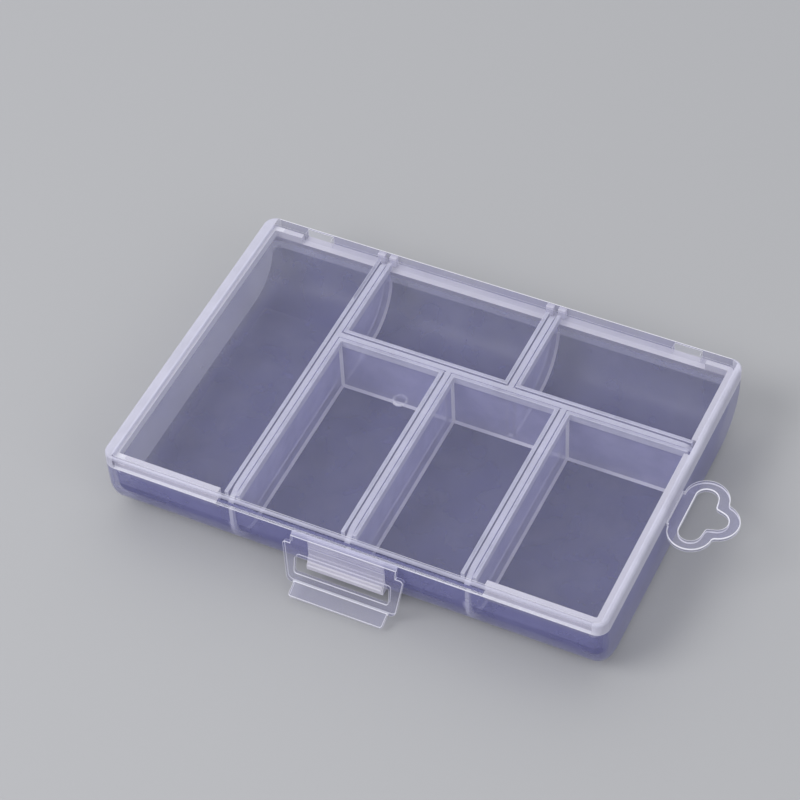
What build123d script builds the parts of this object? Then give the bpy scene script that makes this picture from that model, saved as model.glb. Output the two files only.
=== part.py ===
"""Shallow hinged compartment box for beads and small parts, in clear polypropylene.

Millimetres, +Z up. The origin is the middle of the box's footprint on the surface it stands on.
+X is the box's right-hand end, where the hang tab is, and -Y is its front, where the latch is.
"""

import math
import os

from build123d import *

os.makedirs("parts", exist_ok=True)

# Base tray
box_length = 120.0
box_width = 82.0
base_height = 15.6
wall = 1.5
floor = 1.2
side_draft = 0.45
corner_radius = 3.0
inner_corner_radius = 2.0
front_scoop_radius = 10.0
back_scoop_radius = 12.0

# Lid
lid_height = 3.3
plate = 1.0
skirt = 1.5
lid_edge_radius = 0.7
skirt_window_width = 6.6
skirt_window_clearance = 0.4

# Locating lips, which stand up inside the lid's skirt
lip = 1.3
lip_gap = 0.25
lip_rise = 2.0
lip_root = 3.0
lip_root_chamfer = 1.1
left_lip_front_end = -31.6
left_lip_back_end = -50.0
right_lip_front_end = 32.0
right_lip_back_end = 51.5

# Dividers
divider = 1.3
divider_rise = 2.0
divider_front_radius = 5.5
divider_back_radius = 3.0
long_divider_x = -28.5
front_divider_pitch = 28.2
cross_divider_y = 13.5
rear_divider_x = 14.3

# Ribs under the lid, a pair along each divider
rib = 0.9
rib_height = 2.0
rib_clearance = 0.3
rib_tip_gap = 0.9
lip_break_clearance = 0.35

# Rear living hinge
hinge_length = 85.4
hinge_web = 0.3
hinge_root = 0.8

# Front latch: a flap on a living hinge of its own, and the catch that it snaps over
latch_web = 0.3
latch_axis_out = 0.65
latch_axis_up = 0.2
latch_rest_angle = 12.0
flap = 1.0
flap_standoff = 0.3
flap_start = 0.3
flap_shoulder = 1.9
neck_length = 2.5
flap_top_width = 29.0
flap_bottom_width = 26.0
flap_length = 13.3
flap_corner_radius = 1.5
flap_window_width = 22.5
flap_window_top = 5.8
flap_window_bottom = 10.4
flap_window_radius = 0.6
finger_lip_width = 22.6
finger_lip_reach = 2.8
finger_lip_drop = 1.1
finger_lip_radius = 0.6
catch_width = 18.4
catch_top = 4.0
catch_bottom = 9.9
catch_pad = 0.2
catch_nose = 1.4
catch_nose_height = 1.2

# Hang tab: a flat ring of three lobes on the right-hand wall
tab_thickness = 1.0
tab_centre_y = -2.0
tab_lobe_radius = 5.1
tab_hole_radius = 2.5
tab_side_lobe_reach = 5.6
tab_side_lobe_offset = 5.0
tab_end_lobe_reach = 9.8
tab_hole_cusp_reach = 8.4
tab_hole_cusp_offset = 3.0
tab_cusp_radius = 0.9

# Mark of the moulding gate, a low ring on the floor that the cross divider stands across
gate_mark_radius = 1.8
gate_mark_wall = 0.4
gate_mark_height = 0.25
gate_mark_x = -13.5
gate_mark_y = 13.7

half_length = box_length / 2
half_width = box_width / 2
front_face = -half_width
lid_top = base_height + lid_height
plate_underside = lid_top - plate
divider_top = base_height + divider_rise
lip_outer_inset = skirt + lip_gap
lip_inner_inset = lip_outer_inset + lip
cover = 1.0  # how far a cutting tool runs past what it cuts


def tray_solid(inset, bottom, front_radius, back_radius, edge_radius):
    """The tray's outside, or with an inset its inside: scooped front and back, drafted ends."""
    with BuildPart() as solid:
        with BuildSketch(Plane.YZ) as section:
            with Locations((0, (base_height + bottom) / 2)):
                Rectangle(box_width - 2 * inset, base_height - bottom)
            low = section.vertices().group_by(Axis.Y)[0].sort_by(Axis.X)
            fillet(low[0], front_radius)
            low = section.vertices().group_by(Axis.Y)[0].sort_by(Axis.X)
            fillet(low[-1], back_radius)
        extrude(amount=half_length, both=True)
        with BuildSketch(Plane.XZ):
            top_half = half_length - inset
            bottom_half = top_half - side_draft * (base_height - bottom) / base_height
            with BuildLine():
                Polyline(
                    (-top_half, base_height),
                    (top_half, base_height),
                    (bottom_half, bottom),
                    (-bottom_half, bottom),
                    close=True,
                )
            make_face()
        extrude(amount=half_width, both=True, mode=Mode.INTERSECT)
        ends = solid.faces().sort_by(Axis.X)
        rims = ends[0].edges() + ends[-1].edges()
        fillet([e for e in rims if e.center().Z < base_height - 0.01], edge_radius)
    return solid.part


def lid_outline(inset, radius, mode=Mode.ADD):
    """A rounded rectangle, inset from the box's outline."""
    RectangleRounded(box_length - 2 * inset, box_width - 2 * inset, radius, mode=mode)


# ---------------------------------------------------------------- base tray
tray_outside = tray_solid(0, 0, front_scoop_radius, back_scoop_radius, corner_radius)
tray_inside = tray_solid(
    wall, floor, front_scoop_radius - wall, back_scoop_radius - wall, inner_corner_radius
)

with BuildPart() as base_tray:
    add(tray_outside)
    add(tray_inside, mode=Mode.SUBTRACT)
    with BuildSketch(Plane.XY.offset(floor)):
        with Locations((gate_mark_x, gate_mark_y)):
            Circle(gate_mark_radius)
            Circle(gate_mark_radius - gate_mark_wall, mode=Mode.SUBTRACT)
        with Locations((gate_mark_x, cross_divider_y)):
            Rectangle(3 * gate_mark_radius, divider, mode=Mode.SUBTRACT)
    extrude(amount=gate_mark_height)
base_tray.part.label = "base_tray"

# ---------------------------------------------------------------- dividers
with BuildPart() as interior:
    add(tray_inside)
    with BuildSketch(Plane.XY.offset(base_height)):
        lid_outline(wall, corner_radius - wall)
    extrude(amount=divider_rise)


def end_rounding(radius):
    """How far in from a wall a divider's rounded top corner starts."""
    return math.sqrt(radius**2 - (radius - divider_rise) ** 2)


def wall_panel(start, stop, start_radius, stop_radius):
    """A divider's side view, from one place along it to another, as high as the divider goes.

    A radius rounds that end's top corner down to the top of the tray's wall; None leaves it square.
    """
    with BuildLine() as outline:
        if start_radius is None:
            top_start = (start, divider_top)
            Line((start, 0), top_start)
        else:
            top_start = (start + end_rounding(start_radius), divider_top)
            Line((start, 0), (start, base_height))
            RadiusArc((start, base_height), top_start, start_radius)
        if stop_radius is None:
            top_stop = (stop, divider_top)
            Line(top_stop, (stop, 0))
        else:
            top_stop = (stop - end_rounding(stop_radius), divider_top)
            RadiusArc(top_stop, (stop, base_height), stop_radius)
            Line((stop, base_height), (stop, 0))
        Line(top_start, top_stop)
        Line((stop, 0), (start, 0))
    make_face(outline.line)


inner_front = front_face + wall
inner_back = half_width - wall
inner_right = half_length - wall
cross_front = cross_divider_y - divider / 2
cross_back = cross_divider_y + divider / 2
long_divider_right = long_divider_x + divider / 2
front_divider_xs = [long_divider_x + front_divider_pitch * (i + 1) for i in range(2)]

with BuildPart() as long_divider:
    with BuildSketch(Plane.YZ.offset(long_divider_x)):
        wall_panel(inner_front, inner_back, divider_front_radius, divider_back_radius)
    extrude(amount=divider / 2, both=True)
    add(interior.part, mode=Mode.INTERSECT)
long_divider.part.label = "long_divider"

with BuildPart() as cross_divider:
    with BuildSketch(Plane.XZ.offset(-cross_divider_y)):
        wall_panel(long_divider_right, inner_right, None, divider_back_radius)
    extrude(amount=divider / 2, both=True)
    add(interior.part, mode=Mode.INTERSECT)
cross_divider.part.label = "cross_divider"

front_dividers = []
for name, place in zip(("front_divider_left", "front_divider_right"), front_divider_xs):
    with BuildPart() as front_divider:
        with BuildSketch(Plane.YZ.offset(place)):
            wall_panel(inner_front, cross_front, divider_front_radius, None)
        extrude(amount=divider / 2, both=True)
        add(interior.part, mode=Mode.INTERSECT)
    front_divider.part.label = name
    front_dividers.append(front_divider.part)

with BuildPart() as rear_divider:
    with BuildSketch(Plane.YZ.offset(rear_divider_x)):
        wall_panel(cross_back, inner_back, None, divider_back_radius)
    extrude(amount=divider / 2, both=True)
    add(interior.part, mode=Mode.INTERSECT)
rear_divider.part.label = "rear_divider"

# ---------------------------------------------------------------- locating lips
lip_outer_radius = max(corner_radius - lip_outer_inset, 0.6)
lip_inner_radius = 0.4
lip_break = divider + 2 * (rib_clearance + rib + lip_break_clearance)
root_break = divider + 2 * lip_break_clearance


def root_gaps():
    """Cuts a ring where the lips have no root: front middle, and around each divider's end."""
    front_gap = right_lip_front_end - left_lip_front_end
    with Locations((left_lip_front_end, 0)):
        Rectangle(front_gap, box_width, align=(Align.MIN, Align.MAX), mode=Mode.SUBTRACT)
    with Locations((long_divider_x, 0), (rear_divider_x, 0)):
        Rectangle(root_break, box_width, align=(Align.CENTER, Align.MIN), mode=Mode.SUBTRACT)
    with Locations((0, cross_divider_y)):
        Rectangle(box_length, lip_break, align=(Align.MIN, Align.CENTER), mode=Mode.SUBTRACT)


def lip_gaps():
    """Cuts a ring where the box has no lip: where it has no root, and in the back middle."""
    root_gaps()
    back_gap = right_lip_back_end - left_lip_back_end
    with Locations((left_lip_back_end, 0)):
        Rectangle(back_gap, box_width, align=(Align.MIN, Align.MIN), mode=Mode.SUBTRACT)


with BuildPart() as locating_lips:
    with BuildSketch(Plane.XY.offset(base_height)):
        lid_outline(wall / 2, corner_radius - wall / 2)
        root_gaps()
    extrude(amount=-lip_root)
    add(tray_inside, mode=Mode.INTERSECT)
    with BuildSketch(Plane.XY.offset(base_height)):
        lid_outline(lip_inner_inset, lip_inner_radius)
    root_taper = math.degrees(math.atan2(lip_inner_inset - wall, lip_root))
    extrude(amount=-lip_root - cover, taper=-root_taper, mode=Mode.SUBTRACT)
    with BuildSketch(Plane.XY.offset(base_height)):
        lid_outline(lip_outer_inset, lip_outer_radius)
        lid_outline(lip_inner_inset, lip_inner_radius, Mode.SUBTRACT)
        lip_gaps()
    extrude(amount=lip_rise)
locating_lips.part.label = "locating_lips"

# ---------------------------------------------------------------- catch on the front wall
with BuildPart() as catch_block:
    with BuildSketch(Plane.YZ):
        top = base_height - catch_top
        bottom = base_height - catch_bottom
        pad_bottom = base_height - flap_window_top - catch_pad
        with BuildLine():
            Polyline(
                (front_face + wall, top),
                (front_face - catch_pad, top - catch_pad),
                (front_face - catch_pad, pad_bottom),
                (front_face - catch_nose, bottom + catch_nose_height),
                (front_face - catch_nose, bottom),
                (front_face + wall, bottom),
                close=True,
            )
        make_face()
    extrude(amount=catch_width / 2, both=True)
    add(tray_outside, mode=Mode.SUBTRACT)
catch_block.part.label = "catch_block"

# ---------------------------------------------------------------- hang tab
tab_side_x = half_length + tab_side_lobe_reach
tab_end_x = half_length + tab_end_lobe_reach
tab_inner_x = tab_side_x - tab_hole_radius
tab_lobes = [
    (tab_side_x, tab_centre_y - tab_side_lobe_offset),
    (tab_end_x, tab_centre_y),
    (tab_side_x, tab_centre_y + tab_side_lobe_offset),
]
tab_cusp_x = half_length + tab_hole_cusp_reach
tab_hole_cusps = [
    (tab_cusp_x, tab_centre_y - tab_hole_cusp_offset),
    (tab_cusp_x, tab_centre_y + tab_hole_cusp_offset),
]


def touching(lobe, cusp, turn):
    """Where a line from a cusp touches a lobe of the hole, anticlockwise or clockwise of it."""
    opening = math.acos(tab_hole_radius / math.dist(lobe, cusp))
    angle = math.atan2(cusp[1] - lobe[1], cusp[0] - lobe[0]) + turn * opening
    return (
        lobe[0] + tab_hole_radius * math.cos(angle),
        lobe[1] + tab_hole_radius * math.sin(angle),
    )


with BuildPart() as hang_tab:
    with BuildSketch(Plane.XY.offset(base_height)) as tab_plan:
        with Locations(*tab_lobes):
            Circle(tab_lobe_radius)
        with Locations((tab_side_x, tab_centre_y)):
            root_length = tab_side_lobe_reach + wall
            root_width = 2 * tab_side_lobe_offset
            Rectangle(root_length, root_width, align=(Align.MAX, Align.CENTER))
        fillet([v for v in tab_plan.vertices() if v.X > tab_side_x + 1], tab_cusp_radius)
        with BuildSketch(mode=Mode.SUBTRACT) as tab_hole:
            with Locations(*tab_lobes):
                Circle(tab_hole_radius)
            with BuildLine():
                Polyline(
                    (tab_inner_x, tab_lobes[0][1]),
                    tab_lobes[0],
                    touching(tab_lobes[0], tab_hole_cusps[0], -1),
                    tab_hole_cusps[0],
                    touching(tab_lobes[1], tab_hole_cusps[0], 1),
                    tab_lobes[1],
                    touching(tab_lobes[1], tab_hole_cusps[1], -1),
                    tab_hole_cusps[1],
                    touching(tab_lobes[2], tab_hole_cusps[1], 1),
                    tab_lobes[2],
                    (tab_inner_x, tab_lobes[2][1]),
                    close=True,
                )
            make_face()
            tips = [v for v in tab_hole.vertices() if abs(v.X - tab_cusp_x) < 0.01]
            fillet(tips, tab_cusp_radius)
    extrude(amount=-tab_thickness)
    add(tray_outside, mode=Mode.SUBTRACT)
hang_tab.part.label = "hang_tab"

# ---------------------------------------------------------------- rear hinge web
hinge_radius = hinge_web / 2
hinge_axis_y = half_width + hinge_radius
with BuildPart() as rear_hinge_web:
    with BuildSketch(Plane.YZ):
        with Locations((hinge_axis_y, base_height)):
            Circle(hinge_radius)
        with Locations((half_width, base_height)):
            Rectangle(hinge_radius, hinge_root, align=(Align.MIN, Align.MAX))
    extrude(amount=hinge_length / 2, both=True)
rear_hinge_web.part.label = "rear_hinge_web"

# ---------------------------------------------------------------- lid
with BuildPart() as lid_cover:
    with BuildSketch(Plane.XY.offset(base_height)):
        lid_outline(0, corner_radius)
    extrude(amount=lid_height)
    fillet(lid_cover.edges().group_by(Axis.Z)[-1], lid_edge_radius)
    with BuildSketch(Plane.XY.offset(base_height)):
        lid_outline(skirt, corner_radius - skirt)
    extrude(amount=lid_height - plate, mode=Mode.SUBTRACT)
    with BuildSketch(Plane.XY.offset(base_height)):
        window_x = hinge_length / 2 + skirt_window_clearance + skirt_window_width / 2
        with Locations((-window_x, half_width), (window_x, half_width)):
            Rectangle(skirt_window_width, 2 * skirt)
    extrude(amount=lid_height - plate, mode=Mode.SUBTRACT)
lid_cover.part.label = "lid_cover"

# ---------------------------------------------------------------- ribs under the lid
rib_end_inset = skirt + rib_tip_gap
divider_runs = [
    ((long_divider_x, front_face), (long_divider_x, half_width)),
    ((long_divider_x, cross_divider_y), (half_length, cross_divider_y)),
    ((front_divider_xs[0], front_face), (front_divider_xs[0], cross_divider_y)),
    ((front_divider_xs[1], front_face), (front_divider_xs[1], cross_divider_y)),
    ((rear_divider_x, cross_divider_y), (rear_divider_x, half_width)),
]


def run_bands(margin, mode):
    """A band along every divider, wider than the divider by a margin on each side."""
    band = divider + 2 * margin
    for (x0, y0), (x1, y1) in divider_runs:
        with Locations(((x0 + x1) / 2, (y0 + y1) / 2)):
            Rectangle(x1 - x0 + band, y1 - y0 + band, mode=mode)


with BuildPart() as locating_ribs:
    with BuildSketch(Plane.XY.offset(plate_underside)) as rib_plan:
        run_bands(rib_clearance + rib, Mode.ADD)
        run_bands(rib_clearance, Mode.SUBTRACT)
        Rectangle(
            box_length - 2 * rib_end_inset, box_width - 2 * rib_end_inset, mode=Mode.INTERSECT
        )
    extrude(amount=-rib_height)
locating_ribs.part.label = "locating_ribs"

# ---------------------------------------------------------------- latch
neck_width = flap_top_width - 2 * flap_shoulder
latch_axis_y = front_face - latch_axis_out
latch_axis_z = base_height + latch_axis_up
latch_web_radius = latch_web / 2
flap_inner = latch_axis_out - flap_standoff

with BuildPart() as latch_hinge_web:
    with BuildSketch(Plane.YZ):
        with Locations((latch_axis_y, latch_axis_z)):
            Circle(latch_web_radius)
        with Locations((front_face, latch_axis_z)):
            Rectangle(latch_axis_out, latch_web, align=(Align.MAX, Align.CENTER))
    extrude(amount=neck_width / 2, both=True)
latch_hinge_web.part.label = "latch_hinge_web"

# The flap is drawn on its inner face: across is X, along runs down from the hinge axis.
rest = math.radians(latch_rest_angle)
flap_plane = Plane(
    origin=(0, latch_axis_y + flap_inner * math.cos(rest), latch_axis_z - flap_inner * math.sin(rest)),
    x_dir=(1, 0, 0),
    z_dir=(0, -math.cos(rest), math.sin(rest)),
)
with BuildPart() as latch_flap:
    with BuildSketch(flap_plane) as flap_outline:
        with BuildLine():
            Polyline(
                (-neck_width / 2, -flap_start),
                (neck_width / 2, -flap_start),
                (neck_width / 2, -neck_length),
                (flap_top_width / 2, -neck_length),
                (flap_bottom_width / 2, -flap_length),
                (-flap_bottom_width / 2, -flap_length),
                (-flap_top_width / 2, -neck_length),
                (-neck_width / 2, -neck_length),
                close=True,
            )
        make_face()
        corners = flap_outline.vertices().group_by(Axis.Y)
        fillet(corners[0], flap_corner_radius)
        shoulders = [v for v in flap_outline.vertices() if abs(v.X) > flap_top_width / 2 - 0.01]
        fillet(shoulders, flap_corner_radius / 2)
        window_height = flap_window_bottom - flap_window_top
        with Locations((0, -(flap_window_top + flap_window_bottom) / 2)):
            RectangleRounded(
                flap_window_width, window_height, flap_window_radius, mode=Mode.SUBTRACT
            )
    extrude(amount=flap)
    lip_direction = math.atan2(finger_lip_drop, finger_lip_reach)
    lip_length = math.hypot(finger_lip_reach, finger_lip_drop)
    along_y = -math.sin(rest)
    along_z = -math.cos(rest)
    bend_y = flap_plane.origin.Y + along_y * flap_length
    bend_z = flap_plane.origin.Z + along_z * flap_length
    lip_plane = Plane(
        origin=(0, bend_y, bend_z),
        x_dir=(1, 0, 0),
        z_dir=(0, -math.sin(lip_direction), math.cos(lip_direction)),
    )
    with BuildSketch(lip_plane) as finger_lip:
        Rectangle(finger_lip_width, lip_length + flap, align=(Align.CENTER, Align.MAX))
        fillet(finger_lip.vertices().group_by(Axis.Y)[0], finger_lip_radius)
    extrude(amount=flap)
latch_flap.part.label = "latch_flap"

# ---------------------------------------------------------------- files
for piece in [
    base_tray.part,
    locating_lips.part,
    long_divider.part,
    cross_divider.part,
    *front_dividers,
    rear_divider.part,
    catch_block.part,
    hang_tab.part,
    rear_hinge_web.part,
    lid_cover.part,
    locating_ribs.part,
    latch_hinge_web.part,
    latch_flap.part,
]:
    export_step(piece, f"parts/{piece.label}.step")
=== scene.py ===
"""Looks of a shallow hinged compartment box in clear polypropylene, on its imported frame."""

import logging
import math
from collections.abc import Callable, Sequence
from dataclasses import dataclass
from enum import Enum

import bmesh
import bpy
from mathutils import Matrix, Vector


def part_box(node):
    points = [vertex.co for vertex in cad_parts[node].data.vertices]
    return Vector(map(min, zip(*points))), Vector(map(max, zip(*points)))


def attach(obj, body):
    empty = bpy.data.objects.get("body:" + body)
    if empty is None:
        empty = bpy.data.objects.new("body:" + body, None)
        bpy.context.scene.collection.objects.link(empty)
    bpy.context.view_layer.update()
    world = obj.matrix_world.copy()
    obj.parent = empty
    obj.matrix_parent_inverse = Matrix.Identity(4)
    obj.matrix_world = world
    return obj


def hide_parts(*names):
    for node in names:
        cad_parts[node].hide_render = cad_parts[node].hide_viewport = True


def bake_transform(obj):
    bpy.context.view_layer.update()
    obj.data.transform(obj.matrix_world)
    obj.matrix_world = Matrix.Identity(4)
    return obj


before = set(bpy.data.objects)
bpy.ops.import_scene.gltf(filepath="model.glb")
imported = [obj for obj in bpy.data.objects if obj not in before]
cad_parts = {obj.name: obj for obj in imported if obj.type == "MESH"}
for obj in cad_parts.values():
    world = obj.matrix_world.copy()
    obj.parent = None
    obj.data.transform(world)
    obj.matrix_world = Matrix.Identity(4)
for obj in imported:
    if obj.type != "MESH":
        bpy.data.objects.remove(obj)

MM = 0.001
LOG = logging.getLogger("bead_box")

# Where the box's own edges are. It reaches as far to the front as it does to the back.
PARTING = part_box("base_tray")[1].z
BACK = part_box("base_tray")[1].y
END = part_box("lid_cover")[1].x
HINGE_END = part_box("rear_hinge_web")[1].x
FRONT_GAP = (-31.6 * MM, 32.0 * MM)  # The front rim carries no lip between these.

# Bands along those edges, and the reach of what belongs to them.
RIM = 2.0 * MM
RIM_LINE = 0.8 * MM
EDGE_BAND = 5.0 * MM
LEFT_STRIP = 2.6 * MM
SKIRT_DEPTH = 1.5 * MM
PAIR_REACH = 2.0 * MM
FLOOR_TOP = 0.92 * PARTING
SEAM = 1.0 * MM
MERGE = 0.05 * MM
NARROW_SHARE = 0.25

# How much of a face's normal lies along an axis, for a face that looks that way.
LEANS = 0.05
FLOOR_LEANS = 0.1
SLOPES = 0.3
LOOKS = 0.5
SQUARE = 0.9
LEVEL = 0.99


class Body(Enum):
    """The bodies that a piece can ride on."""

    BASE = "base"
    LID = "lid"
    LATCH = "latch"


# ------------------------------------------------------------------------------ finishes
def noise(
    tree: bpy.types.ShaderNodeTree, place: bpy.types.NodeSocket, size: float, detail: float
) -> bpy.types.NodeSocket:
    """Adds a cloudy pattern to a material.

    Args:
        tree: The material's node tree.
        place: Where on the piece the pattern is read.
        size: Size of its patches, in metres.
        detail: How many finer patterns it carries.

    Returns:
        The pattern's socket.
    """
    pattern = tree.nodes.new("ShaderNodeTexNoise")
    pattern.inputs["Scale"].default_value = 1 / size
    pattern.inputs["Detail"].default_value = detail
    tree.links.new(place, pattern.inputs["Vector"])
    return pattern.outputs["Fac"]


def ranged(
    tree: bpy.types.ShaderNodeTree,
    pattern: bpy.types.NodeSocket,
    given: tuple[float, float],
    wanted: tuple[float, float],
) -> bpy.types.NodeSocket:
    """Maps one range of a pattern onto another.

    Args:
        tree: The material's node tree.
        pattern: The pattern's socket.
        given: The range that is read from it.
        wanted: The range that it becomes.

    Returns:
        The result's socket.
    """
    mapped = tree.nodes.new("ShaderNodeMapRange")
    mapped.inputs["From Min"].default_value, mapped.inputs["From Max"].default_value = given
    mapped.inputs["To Min"].default_value, mapped.inputs["To Max"].default_value = wanted
    tree.links.new(pattern, mapped.inputs["Value"])
    return mapped.outputs["Result"]


@dataclass(frozen=True)
class Polypropylene:
    """Moulded clear polypropylene, seen through where it is thin and milky where it is thick.

    Attributes:
        name: The material's name.
        colour: Colour of the haze in the plastic.
        haze: Share of the light that one surface stops.
        mottle: How far the haze wanders from place to place.
        mottle_size: Size of the cloudy patches, in metres.
        cloud_band: The part of the cloudy pattern that the haze follows.
        roughness: Roughness of the moulded skin.
        swing: How far the roughness wanders from place to place.
        ripple: Strength of the skin's faint flow ripple.
        ripple_size: Size of the ripple, in metres.
        ripple_height: Height of the ripple, in metres.
        gloss: Share of the mirror-like sheen that the skin keeps.
        head_on: Share of the light that a full sheen mirrors straight back.
        grazing: Share that it adds at a grazing angle.
        grazing_power: How steeply that share grows towards the grazing angle.
        ior: Refractive index of the plastic.
    """

    name: str
    colour: tuple[float, float, float]
    haze: float
    mottle: float = 0.25
    mottle_size: float = 9 * MM
    cloud_band: tuple[float, float] = (0.3, 0.7)
    roughness: float = 0.32
    swing: float = 0.2
    ripple: float = 0.05
    ripple_size: float = 2.5 * MM
    ripple_height: float = 0.1 * MM
    gloss: float = 0.8
    head_on: float = 0.04
    grazing: float = 0.7
    grazing_power: float = 5.0
    ior: float = 1.49

    def material(self) -> bpy.types.Material:
        """Builds the material, or takes the one already built under this name.

        Returns:
            The material.
        """
        made = bpy.data.materials.get(self.name)
        if made is None:
            made = bpy.data.materials.new(self.name)
            made.use_nodes = True
            made.node_tree.nodes.clear()
            self.wire(made.node_tree)
        return made

    def wire(self, tree: bpy.types.ShaderNodeTree) -> None:
        """Wires hazy plastic under a skin that mirrors more at a grazing angle.

        Args:
            tree: The material's empty node tree.
        """
        place = tree.nodes.new("ShaderNodeTexCoord").outputs["Object"]
        clouds = noise(tree, place, self.mottle_size, 3.0)
        thick = (self.haze * (1 - self.mottle), min(1.0, self.haze * (1 + self.mottle)))
        haze = ranged(tree, clouds, self.cloud_band, thick)
        flow = noise(tree, place, self.ripple_size, 2.0)
        rough = (self.roughness * (1 - self.swing), self.roughness * (1 + self.swing))
        skin = ranged(tree, flow, (0.0, 1.0), rough)
        bump = tree.nodes.new("ShaderNodeBump")
        bump.inputs["Strength"].default_value = self.ripple
        bump.inputs["Distance"].default_value = self.ripple_height
        tree.links.new(flow, bump.inputs["Height"])
        plastic = tree.nodes.new("ShaderNodeBsdfPrincipled")
        plastic.inputs["Base Color"].default_value = (*self.colour, 1.0)
        plastic.inputs["IOR"].default_value = self.ior
        plastic.inputs["Specular IOR Level"].default_value = 0.0
        tree.links.new(haze, plastic.inputs["Alpha"])
        sheen = tree.nodes.new("ShaderNodeBsdfGlossy")
        sheen.inputs["Color"].default_value = (1.0, 1.0, 1.0, 1.0)
        for shader in (plastic, sheen):
            tree.links.new(skin, shader.inputs["Roughness"])
            tree.links.new(bump.outputs["Normal"], shader.inputs["Normal"])
        both = tree.nodes.new("ShaderNodeMixShader")
        tree.links.new(self.mirrored(tree), both.inputs["Fac"])
        tree.links.new(plastic.outputs["BSDF"], both.inputs[1])
        tree.links.new(sheen.outputs["BSDF"], both.inputs[2])
        out = tree.nodes.new("ShaderNodeOutputMaterial")
        tree.links.new(both.outputs["Shader"], out.inputs["Surface"])

    def mirrored(self, tree: bpy.types.ShaderNodeTree) -> bpy.types.NodeSocket:
        """Works out the share of the light that the skin mirrors.

        Args:
            tree: The material's node tree.

        Returns:
            The share's socket.
        """
        facing = tree.nodes.new("ShaderNodeLayerWeight")
        facing.inputs["Blend"].default_value = 0.5
        steep = tree.nodes.new("ShaderNodeMath")
        steep.operation = "POWER"
        steep.inputs[1].default_value = self.grazing_power
        tree.links.new(facing.outputs["Facing"], steep.inputs[0])
        share = tree.nodes.new("ShaderNodeMath")
        share.operation = "MULTIPLY_ADD"
        share.inputs[1].default_value = self.grazing * self.gloss
        share.inputs[2].default_value = self.head_on * self.gloss
        tree.links.new(steep.outputs["Value"], share.inputs[0])
        return share.outputs["Value"]


CLEAR = Polypropylene("clear_sheet", (0.40, 0.40, 0.70), haze=0.05, ripple=0.0)
WALL = Polypropylene("tray_wall", (0.26, 0.26, 0.52), haze=0.42, mottle=0.12, ripple=0.0)
FLOOR = Polypropylene(
    "tray_floor", (0.062, 0.062, 0.205), haze=0.72, mottle=0.1, ripple=0.0, gloss=0.2
)
DIVIDER = Polypropylene("divider_wall", (0.52, 0.51, 0.80), haze=0.42, ripple=0.02)
# Painted light: the dividers' faces that look right take this lighter copy of the divider finish,
# so that side shows lighter than the lamps make it.
DIVIDER_SIDE_PAINTED_LIGHT = Polypropylene("divider_side_painted_light", (0.60, 0.59, 0.88), haze=0.47, ripple=0.02)
DIVIDER_TOP = Polypropylene("divider_top", (0.70, 0.69, 0.82), haze=0.70, mottle=0.1)
DIVIDER_EDGE = Polypropylene("divider_edge", (0.72, 0.70, 0.85), haze=0.72, mottle=0.1)
SKIRT = Polypropylene("milky_skirt", (0.74, 0.73, 0.87), haze=0.62, mottle=0.12)
MILKY = Polypropylene("milky_lip", (0.70, 0.68, 0.77), haze=0.90, mottle=0.06)
LIP_ROOT = Polypropylene("lip_root", (0.62, 0.60, 0.70), haze=0.85, mottle=0.06)
FRONT_EDGE = Polypropylene("front_top_edge", (0.62, 0.61, 0.76), haze=0.55, mottle=0.1)
POCKET = Polypropylene("rear_skirt", (0.36, 0.35, 0.52), haze=0.60, mottle=0.15)
WEB = Polypropylene("rear_web", (0.78, 0.76, 0.88), haze=0.70, mottle=0.1)
RIB = Polypropylene("locating_rib", (0.68, 0.67, 0.82), haze=0.62)
RIB_EDGE = Polypropylene("rib_edge", (0.76, 0.75, 0.87), haze=0.72, mottle=0.1)
# Painted shade: the rib faces that look into the narrow gaps beside the dividers take these darker
# finishes, which stand for the shade in those gaps.
RIB_GAP_PAINTED_SHADE = Polypropylene("rib_gap_painted_shade", (0.20, 0.19, 0.32), haze=0.70, mottle=0.1)
CROSS_GAP_PAINTED_SHADE = Polypropylene("cross_gap_painted_shade", (0.30, 0.29, 0.46), haze=0.25, mottle=0.1)
# Milky rounded edges; the same finish also paints light onto the left locating lip.
EDGE_AND_PAINTED_LIGHT = Polypropylene("bright_edge_and_painted_light", (0.88, 0.87, 0.94), haze=0.92, mottle=0.05)
TAB = Polypropylene("hang_tab_sheet", (0.24, 0.23, 0.45), haze=0.20)
FLAP = Polypropylene("latch_sheet", (0.30, 0.29, 0.55), haze=0.14)
FLAP_EDGE = Polypropylene("latch_edge", (0.92, 0.91, 1.0), haze=0.66, mottle=0.1)
CATCH = Polypropylene("catch_wedge", (0.62, 0.60, 0.69), haze=0.95, mottle=0.04)
CATCH_RIB = Polypropylene("catch_rib", (0.70, 0.68, 0.77), haze=0.95, mottle=0.04)
CATCH_WALL = Polypropylene("catch_wall", (0.76, 0.74, 0.90), haze=0.72, mottle=0.1)
HINGE = Polypropylene("hinge_skin", (0.75, 0.74, 0.94), haze=0.30)


# ------------------------------------------------------------------------------ helpers
def link(mesh: bpy.types.Mesh, name: str) -> bpy.types.Object:
    """Puts a mesh into the scene as an object at the origin.

    Args:
        mesh: The finished mesh.
        name: The object's name.

    Returns:
        The new object.
    """
    made = bpy.data.objects.new(name, mesh)
    bpy.context.scene.collection.objects.link(made)
    return made


def mount(mesh: bpy.types.Mesh, name: str, body: Body) -> bpy.types.Object:
    """Makes a piece of a mesh and lets it ride on a body.

    Args:
        mesh: The finished mesh.
        name: The piece's name.
        body: The body that it rides on.

    Returns:
        The new piece.
    """
    piece = link(mesh, name)
    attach(piece, body.value)
    return piece


def plain(carrier: bpy.types.Object) -> bpy.types.Mesh:
    """Turns an object with its modifiers into a plain mesh.

    Args:
        carrier: The object, which is used up.

    Returns:
        The mesh.
    """
    seen = carrier.evaluated_get(bpy.context.evaluated_depsgraph_get())
    mesh = bpy.data.meshes.new_from_object(seen)
    bpy.data.objects.remove(carrier)
    return mesh


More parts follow.
